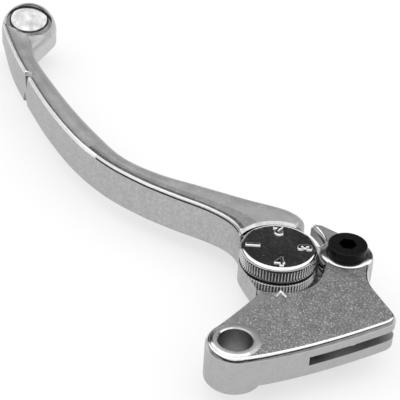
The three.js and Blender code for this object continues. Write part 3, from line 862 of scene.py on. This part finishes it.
def strip_finish(strip, share):
    """The material of one lengthwise strip of the bar, counted back from the outline's end, or None."""
    in_deep_gutter = share < DEEP_GUTTER_END
    # The groove under the band gets painted shade; outside the groove's span its strips get the bright copy
    # of the skin as a painted highlight.
    if -10 <= strip < -7:
        return PAINTED_SHADE if GROOVE_SPAN[0] < share < GROOVE_SPAN[1] else MARK_AND_RIDGE_HIGHLIGHT
    # Towards the ball the band gets the bright copy of the skin as a painted highlight.
    if -15 <= strip < -10:
        return WORN if share < GROOVE_SPAN[1] else MARK_AND_RIDGE_HIGHLIGHT
    # The gutter behind the ridge gets painted shade, darkest next to the ridge and lighter further from it.
    if (-20 if in_deep_gutter else -18) <= strip < -15:
        return PAINTED_GUTTER_SHADE
    if strip in (range(-23, -20) if in_deep_gutter else [-19]):
        return SHADED
    return None


def make_bar():
    rings = []
    for station in range(STATIONS + 1):
        share = station / STATIONS
        start, end = along(REAR_EDGE, share), along(FRONT_EDGE, share)
        sideways = (end - start).normalized()
        neck = smoothstep(share, 0.88, 1)
        bottom = BLADE_BOTTOM + neck - 0.75 * smoothstep(share, 0.1, 0.35) * (1 - neck)
        top = BLADE_TOP - 1.1 * neck
        narrowing = 1 - 0.15 * smoothstep(share, 0.3, 0.75)
        groove = 0.03 + 0.25 * (1 - smoothstep(share, 0.45, 0.62))
        section = blade_section((end - start).length, bottom, top, 1.2 * neck, narrowing, groove)
        rings.append([(*(start + sideways * reach), height) for reach, height in section])
    bar = loft("bar", rings, FORGED)
    # Upward faces of the bar get the lighter copy of the skin as painted light.
    dress(bar, lambda middle, normal: PAINTED_LIGHT_SATIN if normal.z > 0.6 and middle.z < BLADE_TOP - 0.1 else None)
    count = len(rings[0])
    end_faces = 2
    for index, face in enumerate(list(bar.data.polygons)[end_faces:]):
        skin = strip_finish(index % count - count, index // count / STATIONS)
        if skin is not None:
            paint(bar, face, skin)
    return bar


def dial_room_profile():
    """The round pocket for the dial as a cutter, flared at the top."""
    radius, flare = 10.9, 1.1
    rim_radius = radius + flare
    return [
        (0, FLOOR_TOP), (radius, FLOOR_TOP), (radius, BLADE_TOP - flare), (rim_radius, BLADE_TOP),
        (rim_radius + CUT, BLADE_TOP + CUT), (0, BLADE_TOP + CUT),
    ]


def notch_cutters():
    """The breakaway notch: a hole, the cup and bright rim round its mouth, and a nick below."""
    top, bottom = BLADE_TOP, BLADE_BOTTOM
    return [
        # The hole and the nick below get the darker colour as painted shade inside them.
        turned(NOTCH, [(0, 5.5), (1.1, top - 1.6), (1.1, top), (0, top)], RECESS_SHADE),
        # The cup gets the lighter copy of the skin, painted light on its floor.
        turned(NOTCH, [(0, top - 1.4), (1.7, top - 1.4), (1.8, top), (0, top)], PAINTED_LIGHT_SATIN),
        turned(NOTCH, [(0, top - 0.9), (1.3, top - 0.9), (2.3, top + 0.1), (0, top + 0.1)], BRIGHT),
        turned(NOTCH - Vector((1.6, 0.5)), [(0, bottom - 1), (2.6, bottom - 1), (0, bottom + 4)], RECESS_SHADE),
    ]


def make_ball():
    mesh = bpy.data.meshes.new("ball")
    work = bmesh.new()
    bmesh.ops.create_icosphere(work, subdivisions=5, radius=BALL_RADIUS, matrix=Matrix.Translation(BALL))
    work.to_mesh(mesh)
    work.free()
    mesh.materials.append(POLISHED)
    return linked("ball", mesh)


def make_guard():
    """The shelf beside the hub that covers the cam, with a low lip round the dial."""
    guard = prism(circle(DIAL, GUARD_RADIUS), SHELF_TOP + 0.3, FLOOR_TOP, TURNED)
    joined(guard, ring(DIAL, 10, 10.7, FLOOR_TOP - 0.3, FLOOR_TOP + 0.15, POLISHED, 0.14))
    corners = [(0, -8.8), (4.2, -8.8), (12.3, GUARD_SIDE), (20, GUARD_SIDE), (20, 14), (0, 14)]
    keep = [near_dial(*corner) for corner in corners]
    combine(guard, "INTERSECT", [prism(keep, SHELF_TOP - CUT, FLOOR_TOP + CUT, TURNED)])
    dress(guard, lambda middle, normal: FORGED if abs(normal.z) < 0.3 else None)
    return guard


def make_blade():
    blade = make_bar()
    without(blade, turned(DIAL, dial_room_profile(), POLISHED), *notch_cutters())
    toe = [near_dial(*corner) for corner in [(4.2, -8.8), (12.3, -5.4), (6, -5.4)]]
    hub = [(0, BLADE_BOTTOM), (HUB_RADIUS, BLADE_BOTTOM), (HUB_RADIUS, FLOOR_TOP), (0, FLOOR_TOP)]
    web = belt(BALL.to_2d(), BALL_RADIUS - 0.05, *HEAD_TAIL)
    joined(
        blade,
        turned(DIAL, rounded_profile(hub, 0.25), FORGED),
        prism(belt(DIAL, HUB_RADIUS - 0.05, SCREW, TONGUE_RADIUS), TONGUE_BOTTOM, FLOOR_TOP, TURNED),
        make_guard(),
        prism(toe, BLADE_BOTTOM, FLOOR_TOP, FORGED),
        # The web gets the lighter copy of the skin as painted light.
        rounded_prism(web, 1.5, 9, round_rim(1.5), round_rim(3.2), PAINTED_LIGHT_SATIN),
        make_ball(),
    )
    nose_room = dial_rectangle(0, 14, -NOSE_HALF_WIDTH - 0.5, NOSE_HALF_WIDTH + 2)
    without(
        blade,
        disc(DIAL, CAM_ROOM_RADIUS, SLOT_BOTTOM, SHELF_TOP + 0.3, SATIN),
        prism(nose_room, SLOT_BOTTOM, SHELF_TOP + 0.3, SATIN),
        disc(DIAL, SPINDLE_HOLE_RADIUS, BLADE_BOTTOM - CUT, FLOOR_TOP + CUT, SATIN),
        disc(SCREW, EYE_RADIUS, TONGUE_BOTTOM - CUT, FLOOR_TOP + CUT, SATIN),
        disc(SCREW, WASHER_ROOM_RADIUS, FLOOR_TOP - 0.5, FLOOR_TOP + CUT, SATIN),
        disc(near_dial(-7.6, 0), DETENT_HOLE_RADIUS, 2.4, FLOOR_TOP + CUT, SATIN),
    )
    return placed(blade, "blade_forging", "blade", ["lever_blade"])


make_blade()


# ---- Dial ----

TEETH = 74
SKIRT_RADIUS = 9.05


def dial_ring(radius, height, tooth):
    """One level of the dial: a circle with valleys of the given depth between its teeth."""
    points = []
    per_tooth = 8
    for step in range(TEETH * per_tooth):
        angle = 2 * math.pi * step / (TEETH * per_tooth)
        valley = 0.5 - 0.5 * math.cos(TEETH * angle)
        reach = radius - tooth * min(1, valley * 1.4)
        points.append((DIAL.x + math.cos(angle) * reach, DIAL.y + math.sin(angle) * reach, height))
    return points


def dial_finish(middle, normal):
    """A dark mirror on top, dull teeth with painted shade between them, and painted shade on the underside.
    """
    if normal.z > 0.99 and middle.z > DIAL_TOP - 0.2:
        return FACE
    # The underside and the valleys between the teeth get painted shade.
    if normal.z < -0.2:
        return PAINTED_SHADE
    if DIAL_BOTTOM + 0.38 < middle.z < DIAL_TOP - 1.12:
        return PAINTED_SHADE if (middle.to_2d() - DIAL).length < DIAL_RADIUS - 0.25 else KNURLED
    return None


def make_dial():
    tooth = 0.4
    bevel = 0.8
    face_radius = DIAL_RADIUS - bevel
    skirt_foot = (SKIRT_RADIUS - 0.1, FLOOR_TOP + 0.12, 0)
    levels = [skirt_foot, (SKIRT_RADIUS, FLOOR_TOP + 0.22, 0), (SKIRT_RADIUS, DIAL_BOTTOM - 0.05, 0)]
    lower = [(tooth + 0.1, 0, 0), (0.12, 0.1, 0), (0.06, 0.34, 0), (0.3, 0.42, 0), (0.02, 0.6, tooth)]
    levels += [(DIAL_RADIUS - inward, DIAL_BOTTOM + rise, depth) for inward, rise, depth in lower]
    upper = [
        (0.02, 1.66, tooth), (0.4, 1.46, tooth * 0.3), (0.5, 1.4, 0), (0.5, 1.16, 0), (0.12, 1.06, 0),
        (0, 0.94, 0), (0.04, 0.74, 0), (0.2, 0.46, 0), (0.45, 0.2, 0), (0.72, 0.06, 0),
        (bevel, 0.04, 0), (bevel + 0.06, 0.12, 0),
    ]
    levels += [(DIAL_RADIUS - inward, DIAL_TOP - drop, depth) for inward, drop, depth in upper]
    rings = [dial_ring(*level) for level in levels]
    dial = loft("dial", rings, CHROME)
    dress(dial, dial_finish)
    room_radius, core_radius, ceiling = 8.9, 6.4, 8.7
    recess = [(0, DIAL_BOTTOM - CUT), (room_radius, DIAL_BOTTOM - CUT), (room_radius, ceiling)]
    recess += [(core_radius, ceiling), (core_radius, DIAL_BOTTOM - CUT / 2), (0, DIAL_BOTTOM - CUT / 2)]
    without(
        dial,
        turned(DIAL, rounded_profile(recess, 0.05), CHROME),
        disc(DIAL, 2.55, DIAL_BOTTOM - CUT, DIAL_TOP - 1.4, CHROME),
    )
    for number in range(1, 5):
        add_number(dial, str(number), TOWARD_ANGLE - math.pi / 2 * number, face_radius)
    return placed(dial, "reach_dial", "dial", ["adjuster_dial"])


def add_number(dial, text, heading, face_radius):
    """Stands one raised number on the dial's face, with its head to the middle."""
    letter = bpy.data.curves.new("number", "FONT")
    letter.body = text
    letter.align_x = "CENTER"
    letter.align_y = "CENTER"
    letter.size = 4.6
    letter.offset = 0.06
    letter.extrude = 0.03
    letter.bevel_depth = 0.3
    letter.bevel_resolution = 2
    stand = linked("number", letter)
    graph = bpy.context.evaluated_depsgraph_get()
    number = linked("number", bpy.data.meshes.new_from_object(stand.evaluated_get(graph)))
    bpy.data.objects.remove(stand)
    away = DIAL + pointing(heading) * (face_radius - 2.2)
    spin = Matrix.Rotation(heading + math.pi / 2, 4, "Z")
    number.data.transform(Matrix.Translation((*away, DIAL_TOP - 0.12)) @ spin)
    number.data.materials.append(CHROME)
    dress(number, lambda middle, normal: CHROME if normal.z > 0.97 else BRIGHT)
    merge(dial, number)


def merge(piece, other):
    """Adds the other piece's mesh to this one, in its own materials."""
    slots = piece.data.materials
    for material in other.data.materials:
        if material.name not in slots:
            slots.append(material)
    renumbered = [slots.find(material.name) for material in other.data.materials]
    for face in other.data.polygons:
        face.material_index = renumbered[face.material_index]
    work = bmesh.new()
    work.from_mesh(piece.data)
    work.from_mesh(other.data)
    work.to_mesh(piece.data)
    work.free()
    bpy.data.objects.remove(other)


make_dial()


# ---- Pivot screw stack ----

def make_screw():
    head_bottom = PLATE_TOP - 0.55
    head_top = highest("pivot_screw").z
    bottom = lowest("pivot_screw").z
    head_radius, groove_depth = 5, 0.15
    thread_radius, shank_radius = 2.75, 3
    shank = [(0, bottom), (thread_radius - 0.55, bottom), (thread_radius, bottom + 0.6)]
    shank += [(thread_radius, SLOT_BOTTOM), (shank_radius, SLOT_BOTTOM + 0.2), (shank_radius, head_bottom)]
    head = [(head_radius, head_bottom), (head_radius, head_top - 1.9)]
    head += [(head_radius - groove_depth, head_top - 1.8), (head_radius, head_top - 1.7)]
    head += [(head_radius, head_top), (0, head_top)]
    screw = turned(SCREW, rounded_profile(shank + head, 0.3, 5), BLACK)
    socket = hexagon(SCREW, 4)
    # The hex socket is cut in the darker copy, painted shade inside it.
    without(screw, prism(socket, head_top - 1.9, head_top + CUT, SOCKET_SHADE))
    return placed(screw, "pivot_socket_screw", "knuckle", ["pivot_screw"])


make_screw()

for material, plain_nodes in [
    (ZINC, ["dial_spindle", "reach_cam", "spindle_washer", "detent_ball", "thrust_washer", "lock_nut"]),
    (SPRING, ["wave_washer", "detent_spring", "return_spring"]),
    (BLACK, ["spindle_clip"]),
    (BRONZE, ["pivot_bush"]),
    (NYLON, ["nut_insert"]),
]:
    for plain_node in plain_nodes:
        mesh = frame["nodes"][plain_node].data
        mesh.materials.clear()
        mesh.materials.append(material)


# ---- Studio ----

CAMERA_AZIMUTH = 65
CAMERA_PITCH = 33.99
CAMERA_ROLL = 3.9
CAMERA_DISTANCE = 368.7
AIM = Vector((-55.6, 14.5, PLATE_TOP))
FAR = Vector((-math.sin(math.radians(CAMERA_AZIMUTH)), math.cos(math.radians(CAMERA_AZIMUTH)), 0))


def make_camera():
    pitch, roll = math.radians(CAMERA_PITCH), math.radians(CAMERA_ROLL)
    look = FAR * math.cos(pitch) - Vector((0, 0, math.sin(pitch)))
    level = look.cross(Vector((0, 0, 1))).normalized()
    upright = level.cross(look)
    right = level * math.cos(roll) + upright * math.sin(roll)
    up = upright * math.cos(roll) - level * math.sin(roll)
    lens = bpy.data.cameras.new("camera")
    lens.lens = 126
    lens.sensor_width = 36
    lens.clip_start = 0.01
    camera = bpy.data.objects.new("camera", lens)
    turn = Matrix((right, up, -look)).transposed().to_4x4()
    camera.matrix_world = Matrix.Translation((AIM - look * CAMERA_DISTANCE) * MM) @ turn
    bpy.context.scene.collection.objects.link(camera)
    bpy.context.scene.camera = camera


def make_floor():
    half = 3.0
    mesh = bpy.data.meshes.new("studio_floor")
    corners = [(-half, -half), (half, -half), (half, half), (-half, half)]
    mesh.from_pydata([(x, y, GROUND * MM) for x, y in corners], [], [(0, 1, 2, 3)])
    floor = bpy.data.objects.new("studio_floor", mesh)
    bpy.context.scene.collection.objects.link(floor)
    shader = Shader("studio_floor", grey(0.3), 0.9, 0)
    shader.surface.inputs["Emission Color"].default_value = (1, 1, 1, 1)
    shader.surface.inputs["Emission Strength"].default_value = 0.62
    shader.surface.inputs["Specular IOR Level"].default_value = 0.0
    floor.data.materials.append(shader.material)


def make_world():
    """A white light tent above a grey wall with a dark edge, and a grey backdrop in a dark ring."""
    world = bpy.data.worlds.new("light_tent")
    world.use_nodes = True
    bpy.context.scene.world = world
    tree = world.node_tree
    nodes, links = tree.nodes, tree.links
    background = nodes["Background"]
    direction = nodes.new("ShaderNodeTexCoord").outputs["Generated"]

    def combined(operation, first, second):
        node = nodes.new("ShaderNodeMixRGB")
        node.blend_type = operation
        node.inputs["Fac"].default_value = 1
        links.new(first, node.inputs["Color1"])
        links.new(second, node.inputs["Color2"])
        return node.outputs["Color"]

    dot = nodes.new("ShaderNodeVectorMath")
    dot.operation = "DOT_PRODUCT"
    dot.inputs[1].default_value = FAR
    links.new(direction, dot.inputs[0])
    arc = nodes.new("ShaderNodeMath")
    arc.operation = "ARCCOSINE"
    links.new(dot.outputs["Value"], arc.inputs[0])
    turn = nodes.new("ShaderNodeMath")
    turn.operation = "DIVIDE"
    turn.inputs[1].default_value = math.pi
    links.new(arc.outputs[0], turn.inputs[0])
    backdrop = [(0, 0.36), (29 / 180, 0.36)]
    dark_ring = [(33 / 180, 0.03), (48 / 180, 0.03)]
    far_cone = grey_ramp(tree, turn.outputs[0], backdrop + dark_ring + [(52 / 180, 1)])
    split = nodes.new("ShaderNodeSeparateXYZ")
    links.new(direction, split.inputs[0])
    raised = nodes.new("ShaderNodeMapRange")
    raised.inputs["From Min"].default_value = -1
    links.new(split.outputs["Z"], raised.inputs["Value"])
    below = [(0, 0.8), (0.498, 0.8)]
    wall = [(0.502, 0.34), (0.63, 0.34)]
    dark_edge = [(0.635, 0.02), (0.685, 0.02)]
    horizon = grey_ramp(tree, raised.outputs["Result"], below + wall + dark_edge + [(0.705, 1)])
    texture = nodes.new("ShaderNodeTexNoise")
    texture.inputs["Scale"].default_value = 2.2
    texture.inputs["Detail"].default_value = 2
    links.new(direction, texture.inputs["Vector"])
    cloth = grey_ramp(tree, texture.outputs["Fac"], [(0.35, 0.72), (0.6, 1)])
    surroundings = combined("DARKEN", far_cone, horizon)
    links.new(combined("MULTIPLY", surroundings, cloth), background.inputs["Color"])
    background.inputs["Strength"].default_value = 1.85


make_camera()
make_floor()
make_world()
bpy.context.scene.view_settings.view_transform = "Standard"
